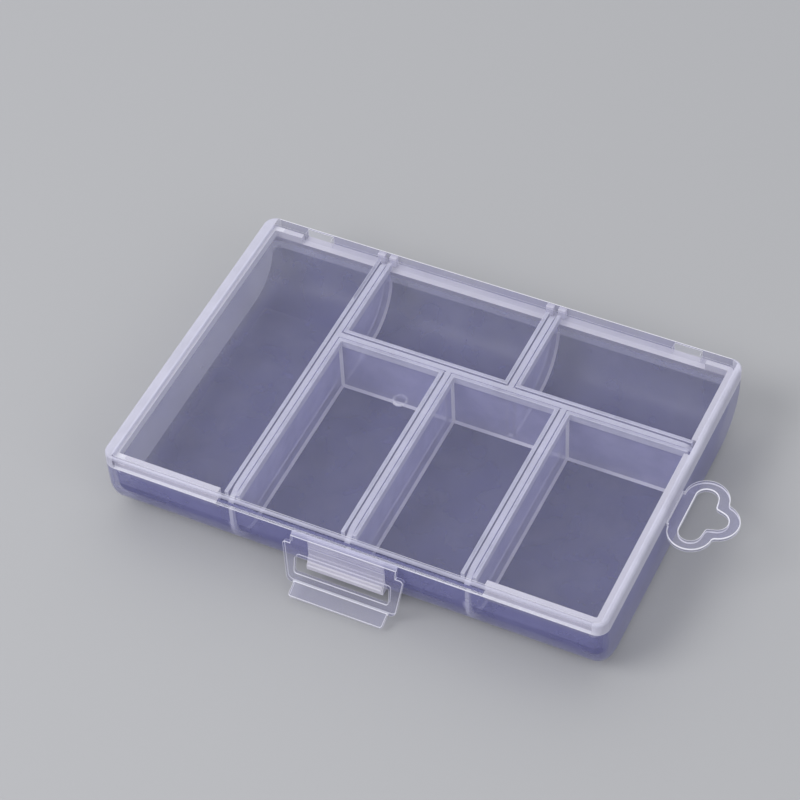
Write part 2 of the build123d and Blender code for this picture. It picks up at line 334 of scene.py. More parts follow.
def creased(mesh: bpy.types.Mesh, crease: float) -> bpy.types.Mesh:
    """Shades a mesh smooth between its creases.

    Args:
        mesh: The mesh.
        crease: Edges that turn more than this many degrees stay sharp.

    Returns:
        The same mesh.
    """
    mesh.shade_smooth()
    mesh.set_sharp_from_angle(angle=math.radians(crease))
    return mesh


def smoothed(mesh: bpy.types.Mesh, crease: float) -> bpy.types.Mesh:
    """Shades a mesh smooth between its creases, with its large faces kept flat.

    Args:
        mesh: The mesh, which is used up.
        crease: Edges that turn more than this many degrees stay sharp.

    Returns:
        The shaded mesh.
    """
    carrier = link(creased(mesh, crease), mesh.name + "_carrier")
    weighing = carrier.modifiers.new("flat_faces", "WEIGHTED_NORMAL")
    weighing.keep_sharp = True
    return plain(carrier)


def finished(solid: bmesh.types.BMesh, name: str, *finishes: Polypropylene) -> bpy.types.Mesh:
    """Turns a solid into a mesh with its finishes.

    Args:
        solid: The solid, which is used up.
        name: The mesh's name.
        finishes: The finish for each of its faces' numbers, from 0.

    Returns:
        The mesh.
    """
    mesh = bpy.data.meshes.new(name)
    solid.to_mesh(mesh)
    solid.free()
    for finish in finishes:
        mesh.materials.append(finish.material())
    return mesh


def block(name: str, low: Vector, high: Vector, finish: Polypropylene) -> bpy.types.Mesh:
    """Makes a plain block between two corners.

    Args:
        name: The mesh's name.
        low: The corner with the least X, Y and Z.
        high: The corner with the most.
        finish: The block's finish.

    Returns:
        The block.
    """
    solid = bmesh.new()
    bmesh.ops.create_cube(solid, size=1.0)
    bmesh.ops.scale(solid, vec=high - low, verts=solid.verts)
    bmesh.ops.translate(solid, vec=(low + high) / 2, verts=solid.verts)
    return finished(solid, name, finish)


def tube(
    name: str, rings: Sequence[Sequence[Vector]], closed: bool, finish: Polypropylene
) -> bpy.types.Mesh:
    """Joins rings of points into a tube.

    Args:
        name: The mesh's name.
        rings: The rings, all with as many points.
        closed: Whether the last ring meets the first. If not, both get a cap.
        finish: The tube's finish.

    Returns:
        The tube.
    """
    sides = len(rings[0])
    points = [point for ring in rings for point in ring]
    last = len(points) - sides
    caps = [tuple(range(sides)), tuple(reversed(range(last, len(points))))]
    faces = [] if closed else caps
    for i in range(len(rings) if closed else len(rings) - 1):
        near, far = i * sides, (i + 1) % len(rings) * sides
        for j in range(sides):
            k = (j + 1) % sides
            faces.append((near + j, far + j, far + k, near + k))
    mesh = bpy.data.meshes.new(name)
    mesh.from_pydata(points, [], faces)
    mesh.materials.append(finish.material())
    return mesh


def add_prism(
    solid: bmesh.types.BMesh, near: Sequence[Vector], far: Sequence[Vector]
) -> list[bmesh.types.BMFace]:
    """Adds a closed prism to a solid.

    Args:
        solid: The solid.
        near: Corners of the prism's one end.
        far: Corners of its other end, in the same order.

    Returns:
        The prism's faces.
    """
    start = [solid.verts.new(corner) for corner in near]
    stop = [solid.verts.new(corner) for corner in far]
    made = [solid.faces.new(start), solid.faces.new(stop)]
    for i in range(len(start)):
        j = (i + 1) % len(start)
        made.append(solid.faces.new((start[i], start[j], stop[j], stop[i])))
    return made


def across_x(*places: float) -> tuple[tuple[Vector, Vector], ...]:
    """Gives a point and the normal of the plane that stands across X at each place."""
    return tuple((Vector((place, 0, 0)), Vector((1, 0, 0))) for place in places)


def across_y(*places: float) -> tuple[tuple[Vector, Vector], ...]:
    """Gives a point and the normal of the plane that stands across Y at each place."""
    return tuple((Vector((0, place, 0)), Vector((0, 1, 0))) for place in places)


@dataclass(frozen=True)
class Facet:
    """One face of a piece, as the rules below see it.

    Attributes:
        middle: The face's middle.
        normal: The way that it looks.
        share: Its area, as a share of the piece's largest face.
    """

    middle: Vector
    normal: Vector
    share: float


@dataclass(frozen=True)
class Accent:
    """A finish for some of a piece's faces.

    Attributes:
        finish: The faces' finish.
        covers: Tells which faces take it.
    """

    finish: Polypropylene
    covers: Callable[[Facet], bool]


@dataclass(frozen=True)
class Dressing:
    """How a moulded piece is finished: its sheet, its edges, and how far they are rounded.

    Attributes:
        sheet: Finish of the faces.
        edge: Finish of the rounded edges.
        accents: Finishes for some of the faces. The first that covers a face is used.
        cuts: A point and a normal of each plane that cuts the level faces first.
        foot: Size of the fillet along the piece's foot, which replaces its rounded low edges.
        parting: Height of a seam whose inner edges stay plain, if there is one.
        rounding: Width of the rounded edges, in metres.
        sharp: Edges that turn more than this many degrees are rounded.
        crease: Edges that turn more than this many degrees shade as a crease.
        flat: Faces that turn less than this many degrees are joined into one.
    """

    sheet: Polypropylene
    edge: Polypropylene = EDGE_AND_PAINTED_LIGHT
    accents: tuple[Accent, ...] = ()
    cuts: tuple[tuple[Vector, Vector], ...] = ()
    foot: float = 0.0
    parting: float | None = None
    rounding: float = 0.25 * MM
    sharp: float = 35.0
    crease: float = 16.0
    flat: float = 0.4

    def solid(self, node: str) -> bmesh.types.BMesh:
        """Copies a node's shape and joins its loose triangles into whole faces.

        Args:
            node: The node.

        Returns:
            The solid.
        """
        copy = bmesh.new()
        copy.from_mesh(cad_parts[node].data)
        bmesh.ops.remove_doubles(copy, verts=copy.verts, dist=MERGE)
        bmesh.ops.recalc_face_normals(copy, faces=copy.faces)
        bmesh.ops.dissolve_limit(
            copy, angle_limit=math.radians(self.flat), verts=copy.verts, edges=copy.edges
        )
        return copy

    def cut(self, solid: bmesh.types.BMesh) -> None:
        """Cuts the level faces along the dressing's planes.

        Args:
            solid: The piece.
        """
        for point, across in self.cuts:
            level = [face for face in solid.faces if abs(face.normal.z) > LEVEL]
            edges = {edge for face in level for edge in face.edges}
            verts = {vert for face in level for vert in face.verts}
            bmesh.ops.bisect_plane(
                solid, geom=[*level, *edges, *verts], plane_co=point, plane_no=across
            )

    def paint(self, solid: bmesh.types.BMesh) -> None:
        """Numbers each face's finish: 0 the sheet, 1 the edges, and from 2 the accents.

        Args:
            solid: The piece.
        """
        widest = max(face.calc_area() for face in solid.faces)
        for face in solid.faces:
            facet = Facet(face.calc_center_median(), face.normal, face.calc_area() / widest)
            fits = (i for i, accent in enumerate(self.accents, 2) if accent.covers(facet))
            face.material_index = next(fits, 0)

    def shows(self, edge: bmesh.types.BMEdge) -> bool:
        """Tells whether an edge is rounded and bright.

        Args:
            edge: An edge of the solid.

        Returns:
            True for a sharp edge, unless it is an inner edge of the seam, on the seam at the
            back, round the lid's sole, low inside the tray, or under a fillet.
        """
        if len(edge.link_faces) != 2 or edge.calc_face_angle(0.0) < math.radians(self.sharp):
            return False
        if self.foot and any(face.normal.z < -LEANS for face in edge.link_faces):
            return False
        middle = (edge.verts[0].co + edge.verts[1].co) / 2
        if self.parting is None:
            return True
        if abs(middle.z - self.parting) > SEAM:
            return middle.z > self.parting
        if any(face.normal.z < -SQUARE for face in edge.link_faces):
            return False
        return max(abs(middle.x) - END, -middle.y - BACK) > -SEAM

    def round_edges(self, solid: bmesh.types.BMesh) -> None:
        """Rounds the edges that show.

        Args:
            solid: The piece.
        """
        bmesh.ops.bevel(
            solid,
            geom=[edge for edge in solid.edges if self.shows(edge)],
            offset=self.rounding,
            offset_type="OFFSET",
            segments=2,
            profile=0.5,
            affect="EDGES",
            clamp_overlap=True,
            material=1,
        )

    def fillets(self, solid: bmesh.types.BMesh) -> list[tuple[list[Vector], list[Vector]]]:
        """Works out the fillets along the foot.

        Args:
            solid: The piece, before its edges are rounded.

        Returns:
            For each low edge, the three corners of its fillet at its start and at its stop.
        """
        spans = []
        for edge in solid.edges:
            under = [face for face in edge.link_faces if face.normal.z < -LEANS]
            beside = [face for face in edge.link_faces if abs(face.normal.z) < LEANS]
            if len(under) != 1 or len(beside) != 1:
                continue
            across = beside[0].normal * self.foot
            ends = []
            for vert in edge.verts:
                soles = [face.normal for face in vert.link_faces if face.normal.z < -LEANS]
                lift = -sum(soles, Vector()).normalized() * self.foot
                ends.append([vert.co.copy(), vert.co + lift, vert.co + across])
            spans.append((ends[0], ends[1]))
        return spans

    def dress(self, node: str, name: str, body: Body) -> bpy.types.Object:
        """Makes the finished piece that stands for a node of the frame.

        Args:
            node: The node that the piece replaces.
            name: The piece's name.
            body: The body that it rides on.

        Returns:
            The finished piece.
        """
        solid = self.solid(node)
        self.cut(solid)
        self.paint(solid)
        spans = self.fillets(solid) if self.foot else []
        self.round_edges(solid)
        added = [face for span in spans for face in add_prism(solid, *span)]
        for face in added:
            face.material_index = 1
        bmesh.ops.recalc_face_normals(solid, faces=added)
        accents = (accent.finish for accent in self.accents)
        mesh = finished(solid, name, self.sheet, self.edge, *accents)
        piece = mount(smoothed(mesh, self.crease), name, body)
        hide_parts(node)
        return piece


@dataclass(frozen=True)
class RibRow:
    """A row of fine half-round ribs, drawn by Geometry Nodes along a straight line.

    Attributes:
        first: Middle of the first rib, in metres.
        step: From one rib's middle to the next.
        count: Number of ribs.
        radius: Radius of a rib.
        length: Length of a rib along X.
        sides: Sides of a rib's round section.
        crease: Edges that turn more than this many degrees shade as a crease.
    """

    first: Vector
    step: Vector
    count: int
    radius: float
    length: float
    sides: int = 16
    crease: float = 40.0

    def inputs(self) -> dict[str, tuple[str, Vector | int | float]]:
        """Names the node tree's inputs.

        Returns:
            For each name, the kind of its socket and the row's own value.
        """
        return {
            "First": ("NodeSocketVector", self.first),
            "Step": ("NodeSocketVector", self.step),
            "Count": ("NodeSocketInt", self.count),
            "Radius": ("NodeSocketFloat", self.radius),
            "Length": ("NodeSocketFloat", self.length),
        }

    def tree(self, finish: Polypropylene) -> bpy.types.GeometryNodeTree:
        """Builds the node tree, with a named input for each size.

        Args:
            finish: The ribs' finish.

        Returns:
            The node tree.
        """
        group = bpy.data.node_groups.new("rib_row", "GeometryNodeTree")
        face = group.interface
        face.new_socket("Geometry", in_out="OUTPUT", socket_type="NodeSocketGeometry")
        for label, (kind, _) in self.inputs().items():
            face.new_socket(label, in_out="INPUT", socket_type=kind)
        given = group.nodes.new("NodeGroupInput")
        row = group.nodes.new("GeometryNodeMeshLine")
        row.mode = "OFFSET"
        bar = group.nodes.new("GeometryNodeMeshCylinder")
        bar.inputs["Vertices"].default_value = self.sides
        copies = group.nodes.new("GeometryNodeInstanceOnPoints")
        copies.inputs["Rotation"].default_value = (0.0, math.pi / 2, 0.0)
        real = group.nodes.new("GeometryNodeRealizeInstances")
        dress = group.nodes.new("GeometryNodeSetMaterial")
        dress.inputs["Material"].default_value = finish.material()
        out = group.nodes.new("NodeGroupOutput")
        joins = [
            (given.outputs["First"], row.inputs["Start Location"]),
            (given.outputs["Step"], row.inputs["Offset"]),
            (given.outputs["Count"], row.inputs["Count"]),
            (given.outputs["Radius"], bar.inputs["Radius"]),
            (given.outputs["Length"], bar.inputs["Depth"]),
            (row.outputs["Mesh"], copies.inputs["Points"]),
            (bar.outputs["Mesh"], copies.inputs["Instance"]),
            (copies.outputs["Instances"], real.inputs["Geometry"]),
            (real.outputs["Geometry"], dress.inputs["Geometry"]),
            (dress.outputs["Geometry"], out.inputs["Geometry"]),
        ]
        for source, target in joins:
            group.links.new(source, target)
        return group

    def build(self, name: str, finish: Polypropylene, body: Body) -> bpy.types.Object:
        """Makes the row as a plain mesh on a body.

        Args:
            name: The piece's name.
            finish: The ribs' finish.
            body: The body that it rides on.

        Returns:
            The finished piece.
        """
        carrier = link(bpy.data.meshes.new(name + "_carrier"), name + "_carrier")
        drawn = carrier.modifiers.new("ribs", "NODES")
        drawn.node_group = self.tree(finish)
        for socket in drawn.node_group.interface.items_tree:
            if socket.in_out == "INPUT":
                drawn[socket.identifier] = self.inputs()[socket.name][1]
        mesh = plain(carrier)
        mesh.name = name
        return mount(creased(mesh, self.crease), name, body)


# ------------------------------------------------------------------------------ which faces
def on_rim(face: Facet) -> bool:
    """Tells whether a face is part of the tray's rim."""
    return face.normal.z > SQUARE and face.middle.z > PARTING - SEAM


def back_rim(face: Facet) -> bool:
    """Tells whether a face is the tray's rim along the hinge."""
    return on_rim(face) and face.middle.y > BACK - RIM and abs(face.middle.x) < HINGE_END


def front_seam(face: Facet) -> bool:
    """Tells whether a face is the outer edge of the tray's rim along the front."""
    return on_rim(face) and face.middle.y < RIM_LINE - BACK


def lip_foot(face: Facet) -> bool:
    """Tells whether a face is the tray's rim at the foot of a locating lip."""
    ahead = face.middle.y < RIM - BACK and not FRONT_GAP[0] < face.middle.x < FRONT_GAP[1]
    return on_rim(face) and (ahead or abs(face.middle.x) > HINGE_END)


def tray_floor(face: Facet) -> bool:
    """Tells whether a face is the floor that the beads lie on, or a scoop that rises from it."""
    return face.normal.z > FLOOR_LEANS and face.middle.z < FLOOR_TOP


# Painted light: the left lip takes the brighter edge finish, so that its sides show as bright as
# the lips that the lamps light.
def left_lip_painted_light(face: Facet) -> bool:
    """Tells whether a face belongs to the locating lip at the left end, apart from its foot."""
    return face.middle.x < EDGE_BAND - END and face.normal.z > -LEANS


def looks_up(face: Facet) -> bool:
    """Tells whether a face looks up, straight or aslant."""
    return face.normal.z > SLOPES


# Painted light: on the dividers, the faces that this picks take a lighter finish than the rest of
# the wall.
def looks_right(face: Facet) -> bool:
    """Tells whether a face looks towards the hang tab's end."""
    return face.normal.x > LOOKS


def end_skirt(face: Facet) -> bool:
    """Tells whether a face belongs to the lid's skirt at either end, or to the roof over it."""
    return face.share < NARROW_SHARE and abs(face.middle.x) > END - EDGE_BAND


def back_fillet(face: Facet) -> bool:
    """Tells whether a face belongs to the lid's rounded top edge at the back."""
    return face.middle.y > BACK - EDGE_BAND and LEANS < face.normal.z < LEVEL


def front_fillet(face: Facet) -> bool:
    """Tells whether a face belongs to the lid's rounded top edge at the front."""
    return face.middle.y < EDGE_BAND - BACK and LEANS < face.normal.z < LEVEL


def back_skirt(face: Facet) -> bool:
    """Tells whether a face is the outside of the lid's skirt at the back."""
    return face.normal.y > LOOKS and face.middle.y > BACK - SEAM


def painted_shade_long_gap(face: Facet) -> bool:
    """Tells whether a rib's face looks right, into the gap of a pair that runs along Y.

    Args:
        face: The rib's face.

    Returns:
        True for the right face of the left rib of such a pair. That face takes a darker finish:
        painted shade in the gap.
    """
    for node in ("long_divider", "front_divider_left", "front_divider_right", "rear_divider"):
        low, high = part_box(node)
        inward = (low.x + high.x) / 2 - face.middle.x
        if 0 < inward < PAIR_REACH and face.normal.x > SQUARE:
            return low.y - SEAM < face.middle.y < high.y + SEAM
    return False


def painted_shade_cross_gap(face: Facet) -> bool:
    """Tells whether a rib's face looks into the gap of the pair that runs along X.

    Args:
        face: The rib's face.

    Returns:
        True for the inner face of either rib of that pair. That face takes a darker finish:
        painted shade in the gap.
    """
    low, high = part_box("cross_divider")
    inward = (low.y + high.y) / 2 - face.middle.y
    return abs(inward) < PAIR_REACH and inward * face.normal.y > 0 and abs(face.normal.y) > SQUARE


# ------------------------------------------------------------------------------ sub-assemblies
@dataclass(frozen=True)
class GateMark:
    """The low ring that the moulding gate leaves on the tray's floor.

    Attributes:
        centre: Middle of the ring in X and Y. It lies at the height of the floor.
        radius: Radius of the ring's middle line.
        bead: Radius of the ring's own round section.
        turns: Points round the ring.
        sides: Points round its section.
    """

    centre: tuple[float, float] = (-13.5 * MM, 13.7 * MM)
    radius: float = 1.55 * MM
    bead: float = 0.36 * MM
    turns: int = 32
    sides: int = 10

    def build(self) -> bpy.types.Object:
        """Sweeps the round section into a ring.

        Returns:
            The finished piece.
        """
        centre = Vector((*self.centre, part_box("cross_divider")[0].z))
        rings = []
        for i in range(self.turns):
            angle = math.tau * i / self.turns
            ring = []
            for j in range(self.sides):
                lean = math.tau * j / self.sides
                reach = self.radius + self.bead * math.cos(lean)
                rise = self.bead * math.sin(lean)
                corner = (reach * math.cos(angle), reach * math.sin(angle), rise)
                ring.append(centre + Vector(corner))
            rings.append(ring)
        mesh = tube("gate_mark", rings, True, EDGE_AND_PAINTED_LIGHT)
        mesh.shade_smooth()
        return mount(mesh, mesh.name, Body.BASE)


@dataclass(frozen=True)
class Weld:
    """The milky line inside the front wall where a divider meets it.

    Attributes:
        node: The divider's node.
        shift: From the divider's right face back to the line's left.
        width: Width of the line.
        radius: Radius of the wall's outside, where it turns under the box.
        turn: How far round that curve the line goes, in degrees.
        skin: Clear depth between the line and the wall's outside.
        depth: Depth of the line itself.
        below_rim: From the tray's rim down to the line's top.
        steps: Segments round the curve.
        crease: Edges that turn more than this many degrees shade as a crease.
    """

    node: str
    shift: float = 0.5 * MM
    width: float = 0.9 * MM
    radius: float = 10.0 * MM
    turn: float = 70.0
    skin: float = 0.15 * MM
    depth: float = 1.1 * MM
    below_rim: float = 0.6 * MM
    steps: int = 12
    crease: float = 30.0

    def build(self) -> bpy.types.Object:
        """Sweeps the line down the wall and round its curve.

        Returns:
            The finished piece.
        """
        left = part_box(self.node)[1].x - self.shift
        top = Vector((0, self.skin - BACK, PARTING - self.below_rim))
        bend = Vector((0, self.radius - BACK, self.radius))
        path = [(top, Vector((0, 1, 0)))]
        for i in range(self.steps + 1):
            angle = math.radians(self.turn * i / self.steps)
            inward = Vector((0, math.cos(angle), math.sin(angle)))
            path.append((bend - inward * (self.radius - self.skin), inward))
        rings = []
        for outside, inward in path:
            near = outside + Vector((left, 0, 0))
            far = outside + Vector((left + self.width, 0, 0))
            deep = inward * self.depth
            rings.append((near, far, far + deep, near + deep))
        mesh = tube("weld_" + self.node, rings, False, EDGE_AND_PAINTED_LIGHT)
        return mount(smoothed(mesh, self.crease), mesh.name, Body.BASE)


@dataclass(frozen=True)
class CornerFillets:
    """The upright fillets where the other dividers meet the cross divider.

    Attributes:
        size: Width of a fillet on each wall.
        below_top: How far below the dividers' top the fillets end.
        ahead: Nodes that meet the cross divider's front, each with its side: -1 left, 1 right.
        behind: The same for its back.
    """

    size: float = 0.6 * MM
    below_top: float = 0.4 * MM
    ahead: tuple[tuple[str, int], ...] = (
        ("long_divider", 1),
        ("front_divider_left", -1),
        ("front_divider_left", 1),
        ("front_divider_right", -1),
        ("front_divider_right", 1),
    )
    behind: tuple[tuple[str, int], ...] = (
        ("long_divider", 1),
        ("rear_divider", -1),
        ("rear_divider", 1),
    )

    def build(self) -> bpy.types.Object:
        """Builds all the fillets as one piece.

        Returns:
            The finished piece.
        """
        low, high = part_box("cross_divider")
        solid = bmesh.new()
        for meets, y, out in ((self.ahead, low.y, -1), (self.behind, high.y, 1)):
            for node, side in meets:
                near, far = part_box(node)
                x = far.x if side > 0 else near.x
                corners = ((x, y), (x + side * self.size, y), (x, y + out * self.size))
                foot = [Vector((*corner, low.z)) for corner in corners]
                head = [Vector((*corner, high.z - self.below_top)) for corner in corners]
                add_prism(solid, foot, head)
        bmesh.ops.recalc_face_normals(solid, faces=solid.faces)
        mesh = finished(solid, "tray_corner_fillets", EDGE_AND_PAINTED_LIGHT)
        return mount(mesh, mesh.name, Body.BASE)


@dataclass(frozen=True)
class Tray:
    """The open tray: shell, locating lips, dividers and hang tab.

    Attributes:
        shell: Dressing of the shell.
        lips: Dressing of the locating lips.
        tab: Dressing of the hang tab.
        dividers: Dressing of the dividers.
        divider_nodes: The dividers' nodes.
        weld_nodes: The nodes of the dividers that meet the front wall.
    """

    shell: Dressing = Dressing(
        WALL,
        accents=(
            Accent(MILKY, back_rim),
            Accent(EDGE_AND_PAINTED_LIGHT, front_seam),
            Accent(LIP_ROOT, lip_foot),
            Accent(FLOOR, tray_floor),
        ),
        cuts=(
            *across_y(BACK - RIM, RIM_LINE - BACK, RIM - BACK),
            *across_x(HINGE_END, -HINGE_END, *FRONT_GAP),
        ),
        parting=PARTING,
        rounding=0.4 * MM,
    )
    lips: Dressing = Dressing(
        MILKY,
        # Painted light: the left lip takes the brighter edge finish.
        accents=(Accent(EDGE_AND_PAINTED_LIGHT, left_lip_painted_light),),
        cuts=across_x(EDGE_BAND - END),
        rounding=0.32 * MM,
    )
    tab: Dressing = Dressing(TAB, rounding=0.22 * MM)
    dividers: Dressing = Dressing(
        DIVIDER,
        DIVIDER_EDGE,
        # Painted light: faces that look right take a lighter copy of the divider finish.
        accents=(Accent(DIVIDER_TOP, looks_up), Accent(DIVIDER_SIDE_PAINTED_LIGHT, looks_right)),
        foot=0.55 * MM,
        rounding=0.3 * MM,
    )
    divider_nodes: tuple[str, ...] = (
        "long_divider",
        "cross_divider",
        "front_divider_left",
        "front_divider_right",
        "rear_divider",
    )
    weld_nodes: tuple[str, ...] = ("long_divider", "front_divider_left", "front_divider_right")

    def build(self) -> list[bpy.types.Object]:
        """Builds every piece of the tray.

        Returns:
            The finished pieces.
        """
        return [
            self.shell.dress("base_tray", "tray_shell", Body.BASE),
            self.lips.dress("locating_lips", "tray_locating_lips", Body.BASE),
            self.tab.dress("hang_tab", "tray_hang_tab", Body.BASE),
            *(self.dividers.dress(node, "tray_" + node, Body.BASE) for node in self.divider_nodes),
            GateMark().build(),
            *(Weld(node).build() for node in self.weld_nodes),
            CornerFillets().build(),
        ]


@dataclass(frozen=True)
class Catch:
    """The ribbed wedge on the front wall that the latch snaps over.

    Attributes:
        wedge: Dressing of the wedge.
        rib_radius: Radius of the fine ribs.
        end_margin: Plain margin at each end of the ribs.
        wall_ribs: Number of ribs on the wall above the wedge.
        slope_ribs: Number of ribs on the wedge's slope.
        pad: How far the wedge's upper face stands out of the wall.
        slope: The slope's upper and lower ends, as heights.
    """

    wedge: Dressing = Dressing(CATCH, rounding=0.12 * MM)
    rib_radius: float = 0.24 * MM
    end_margin: float = 0.3 * MM
    wall_ribs: int = 5
    slope_ribs: int = 4
    pad: float = 0.2 * MM
    slope: tuple[float, float] = (9.5 * MM, 7.1 * MM)

    def build(self) -> list[bpy.types.Object]:
        """Builds the wedge, the fine ribs down its slope, and those on the wall above it.

        Returns:
            The finished pieces.
        """
        low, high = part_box("catch_block")
        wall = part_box("base_tray")[0].y
        length = high.x - low.x - 2 * self.end_margin
        top, bottom = self.slope
        gaps = self.slope_ribs - 1
        fall = Vector((0, (low.y - wall + self.pad) / gaps, (bottom - top) / gaps))
        rise = Vector((0, 0, (PARTING - high.z) / (self.wall_ribs + 1)))
        slope = RibRow(
            Vector((0, wall - self.pad, top)), fall, self.slope_ribs, self.rib_radius, length
        )
        above = RibRow(
            Vector((0, wall, high.z)) + rise, rise, self.wall_ribs, self.rib_radius, length
        )
        backing = block(
            "catch_pad",
            Vector((low.x, wall - self.pad / 2, high.z - self.pad)),
            Vector((high.x, wall, PARTING - self.pad)),
            CATCH_WALL,
        )
        return [
            mount(backing, backing.name, Body.BASE),
            self.wedge.dress("catch_block", "catch_wedge", Body.BASE),
            slope.build("catch_slope_ribs", CATCH_RIB, Body.BASE),
            above.build("catch_wall_ribs", CATCH_RIB, Body.BASE),
        ]


@dataclass(frozen=True)
class Lid:
    """The lid: plate with its skirt, the ribs that straddle the dividers, and the rear webs.

    Attributes:
        cover: Dressing of the plate and skirt.
        ribs: Dressing of the ribs.
        web_nodes: The nodes of the dividers that meet the back.
        web_span: From a divider's middle, where its milky web in the skirt starts and ends.
        web_inset: How far the webs stay inside the skirt's faces.
        web_below_top: From the lid's top down to the webs.
    """

    cover: Dressing = Dressing(
        CLEAR,
        accents=(
            Accent(SKIRT, end_skirt),
            Accent(EDGE_AND_PAINTED_LIGHT, back_fillet),
            Accent(FRONT_EDGE, front_fillet),
            Accent(POCKET, back_skirt),
        ),
        cuts=across_x(END - SKIRT_DEPTH, LEFT_STRIP - END),
        parting=PARTING,
        rounding=0.4 * MM,
    )
    ribs: Dressing = Dressing(
        RIB,
        RIB_EDGE,
        # Painted shade: the rib faces that look into the gaps take darker finishes.
        accents=(Accent(RIB_GAP_PAINTED_SHADE, painted_shade_long_gap), Accent(CROSS_GAP_PAINTED_SHADE, painted_shade_cross_gap)),
        rounding=0.15 * MM,
    )
    web_nodes: tuple[str, ...] = ("long_divider", "rear_divider")
    web_span: tuple[float, float] = (0.6 * MM, 2.4 * MM)
    web_inset: float = 0.15 * MM
    web_below_top: float = 0.6 * MM

    def webs(self) -> list[bpy.types.Object]:
        """Fills the skirt's thickness behind the dividers that meet the back.

        Returns:
            The finished pieces.
        """
        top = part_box("lid_cover")[1].z
        start, stop = self.web_span
        low = Vector((start, BACK - SKIRT_DEPTH + self.web_inset, PARTING + self.web_inset))
        high = Vector((stop, BACK - self.web_inset, top - self.web_below_top))
        made = []
        for node in self.web_nodes:
            near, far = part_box(node)
            middle = Vector(((near.x + far.x) / 2, 0, 0))
            for side, shift in (("left", -start - stop), ("right", 0.0)):
                along = middle + Vector((shift, 0, 0))
                web = block(f"web_{node}_{side}", low + along, high + along, WEB)
                made.append(mount(web, web.name, Body.LID))
        return made

    def build(self) -> list[bpy.types.Object]:
        """Builds the lid's cover, its ribs and its webs.

        Returns:
            The finished pieces.
        """
        return [
            self.cover.dress("lid_cover", "lid_plate_and_skirt", Body.LID),
            self.ribs.dress("locating_ribs", "lid_locating_ribs", Body.LID),
            *self.webs(),
        ]


@dataclass(frozen=True)
class Latch:
    """The latch flap.

    Attributes:
        flap: Dressing of the flap.
    """

    flap: Dressing = Dressing(FLAP, FLAP_EDGE, rounding=0.28 * MM)

    def build(self) -> list[bpy.types.Object]:
        """Builds the flap."""
        return [self.flap.dress("latch_flap", "latch_window_flap", Body.LATCH)]


@dataclass(frozen=True)
class HingeSkin:
    """A living hinge: a thin skin along X that bends where two bodies meet.

    Attributes:
        node: The node that the skin replaces.
        name: The skin's name.
        bodies: The body at the path's start and the body at its end. Not used.
        path: Middle of the skin in Y and Z, from one body to the other.
        thickness: The skin's thickness.
        bend: The path's points between which the skin bends. Not used.
        steps: Segments along each run of the path.
        crease: Edges that turn more than this many degrees shade as a crease.
    """

    node: str
    name: str
    bodies: tuple[Body, Body]
    path: tuple[Vector, ...]
    thickness: float
    bend: tuple[Vector, ...]
    steps: int = 6
    crease: float = 50.0

    def outline(self) -> list[Vector]:
        """Works out the skin's outline in Y and Z.

        Returns:
            The outline's points: along one side of the skin, then back along the other.
        """
        middle = []
        for start, stop in zip(self.path, self.path[1:]):
            middle += [start.lerp(stop, i / self.steps) for i in range(self.steps)]
        middle.append(self.path[-1])
        near, far = [], []
        for i, here in enumerate(middle):
            along = middle[min(i + 1, len(middle) - 1)] - middle[max(i - 1, 0)]
            aside = Vector((0, -along.z, along.y)).normalized() * self.thickness / 2
            near.append(here - aside)
            far.append(here + aside)
        return near + far[::-1]

    def build(self) -> bpy.types.Object:
        """Sweeps the skin's outline along X.

        Returns:
            The finished piece.
        """
        low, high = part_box(self.node)
        outline = self.outline()
        count = len(outline)
        solid = bmesh.new()
        left, right = (
            [solid.verts.new((x, point.y, point.z)) for point in outline] for x in (low.x, high.x)
        )
        for i in range(count):
            j = (i + 1) % count
            solid.faces.new((left[i], left[j], right[j], right[i]))
        for i in range(count // 2 - 1):
            for side in (left, right):
                solid.faces.new((side[i], side[i + 1], side[-i - 2], side[-i - 1]))
        bmesh.ops.recalc_face_normals(solid, faces=solid.faces)
        mesh = finished(solid, self.name, HINGE)
        skin = link(creased(mesh, self.crease), self.name)
        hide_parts(self.node)
        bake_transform(skin)
        return skin


@dataclass(frozen=True)
class Hinges:
    """The lid's hinge along the back and the latch's hinge along the front.

    Attributes:
        rear_thickness: Thickness of the lid's hinge.
        flap_lean: How far the flap leans out at rest, in degrees.
    """

    rear_thickness: float = 0.12 * MM
    flap_lean: float = 12.0

    def rear(self) -> HingeSkin:
        """Works out the lid's hinge, which runs up the back across the parting line.

        Returns:
            The hinge.
        """
        outside = BACK + self.rear_thickness / 2
        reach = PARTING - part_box("rear_hinge_web")[0].z
        return HingeSkin(
            "rear_hinge_web",
            "rear_hinge_skin",
            (Body.BASE, Body.LID),
            tuple(Vector((0, outside, PARTING + rise)) for rise in (-reach, reach)),
            self.rear_thickness,
            tuple(Vector((0, outside, PARTING + rise)) for rise in (-reach / 2, reach / 2)),
        )

    def latch(self) -> HingeSkin:
        """Works out the latch's hinge, which leaves the lid's front and turns down the flap.

        Returns:
            The hinge.
        """
        low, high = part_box("latch_hinge_web")
        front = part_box("base_tray")[0].y
        web = high.z - low.z
        axis = Vector((0, low.y + web / 2, (low.z + high.z) / 2))
        lean = math.radians(self.flap_lean)
        hang = Vector((0, -math.sin(lean), -math.cos(lean))) * web
        return HingeSkin(
            "latch_hinge_web",
            "latch_hinge_skin",
            (Body.LID, Body.LATCH),
            (Vector((0, front, axis.z)), axis, axis + hang * 2),
            web,
            (axis + Vector((0, web, 0)), axis + hang),
        )

    def build(self) -> list[bpy.types.Object]:
        """Builds both hinges."""
        return [self.rear().build(), self.latch().build()]


